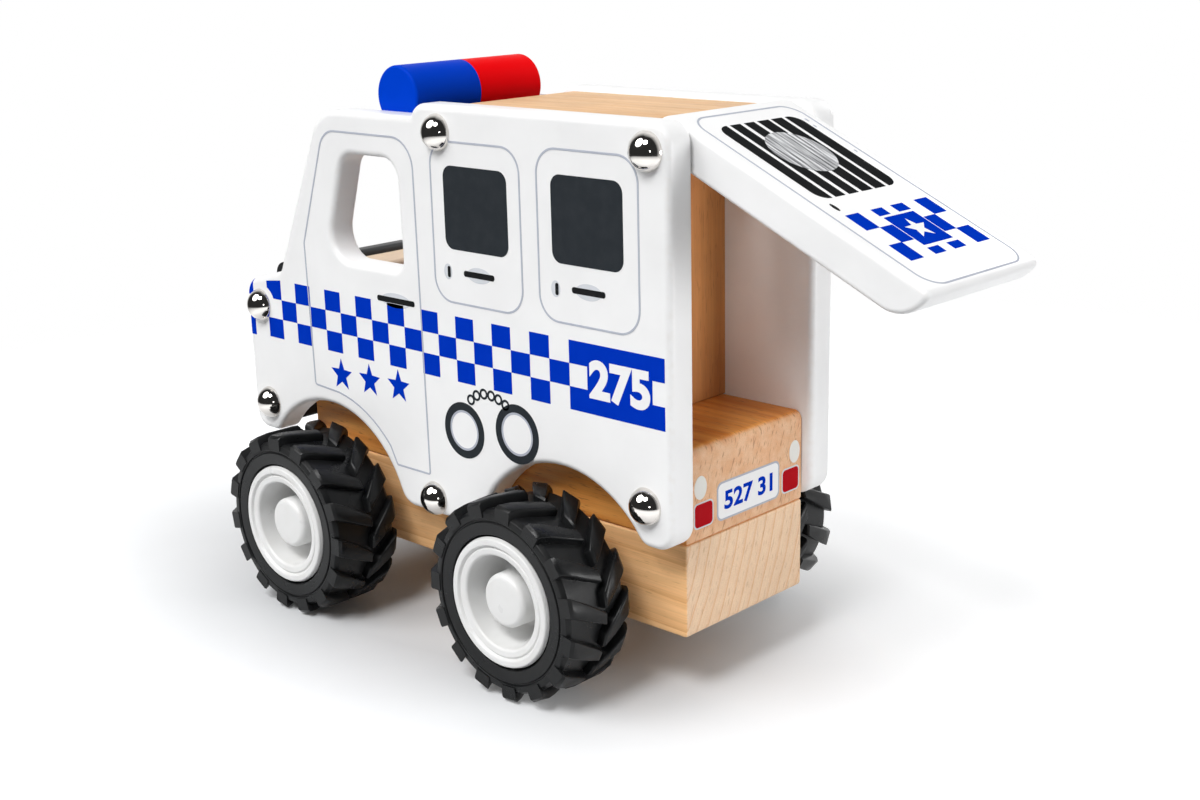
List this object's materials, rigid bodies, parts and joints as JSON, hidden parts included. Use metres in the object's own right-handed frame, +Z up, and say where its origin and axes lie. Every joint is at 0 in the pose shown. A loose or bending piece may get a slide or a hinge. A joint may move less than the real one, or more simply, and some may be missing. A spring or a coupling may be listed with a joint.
{
  "type": "toy van",
  "caption": "Wooden toy police van with painted side panels, open load bay under a hinged tailgate, a two-colour light bar and lugged rubber wheels on free-turning axles.",
  "frame": {"origin": "middle of the overall box at floor level, with the tailgate open as pictured", "axes": "+X towards the tail, +Y towards the van's right-hand side, +Z up"},
  "size_m": [0.2664, 0.1226, 0.1775],
  "materials": {
    "white_paint": "white satin paint on wood board",
    "black_paint": "black satin paint on wood board",
    "beech": "bare oiled beech",
    "pale_beech": "bare sanded beech",
    "blue_paint": "blue gloss paint on dowel",
    "red_paint": "red gloss paint on dowel",
    "chrome": "bright plated dome head",
    "steel": "bright drawn steel rod",
    "tyre_rubber": "matt moulded rubber",
    "white_plastic": "moulded satin white plastic"
  },
  "bodies": {
    "van_body": {"left_side_panel": "white_paint", "right_side_panel": "white_paint", "chassis_beam": "pale_beech", "floor_block": "beech", "roof_board": "beech", "bulkhead": "beech", "grille_board": "black_paint", "bonnet_board": "pale_beech", "light_bar_red": "red_paint", "light_bar_blue": "blue_paint", "screw_left_nose_upper": "chrome", "screw_right_nose_upper": "chrome", "screw_left_nose_lower": "chrome", "screw_right_nose_lower": "chrome", "screw_left_roof": "chrome", "screw_right_roof": "chrome", "screw_left_hinge": "chrome", "screw_right_hinge": "chrome", "screw_left_sill": "chrome", "screw_right_sill": "chrome", "screw_left_tail": "chrome", "screw_right_tail": "chrome"},
    "front_wheels": {"front_axle": "steel", "tyre_front_left": "tyre_rubber", "tyre_front_right": "tyre_rubber", "rim_front_left": "white_plastic", "rim_front_right": "white_plastic", "hub_cap_front_left": "white_plastic", "hub_cap_front_right": "white_plastic"},
    "rear_wheels": {"rear_axle": "steel", "tyre_rear_left": "tyre_rubber", "tyre_rear_right": "tyre_rubber", "rim_rear_left": "white_plastic", "rim_rear_right": "white_plastic", "hub_cap_rear_left": "white_plastic", "hub_cap_rear_right": "white_plastic"},
    "tailgate_leaf": {"tailgate": "white_paint"}
  },
  "joints": [
    {"name": "front_axle_spin", "type": "hinge", "parent": "van_body", "child": "front_wheels", "pos_m": [-0.08801, 0, 0.03], "axis": [0, 1, 0], "continuous": true},
    {"name": "rear_axle_spin", "type": "hinge", "parent": "van_body", "child": "rear_wheels", "pos_m": [0.01509, 0, 0.03], "axis": [0, 1, 0], "continuous": true},
    {"name": "tailgate_hinge", "type": "hinge", "parent": "van_body", "child": "tailgate_leaf", "pos_m": [0.05319, 0, 0.16], "axis": [0, 1, 0], "range_deg": [-24.8, 64.5]}
  ]
}
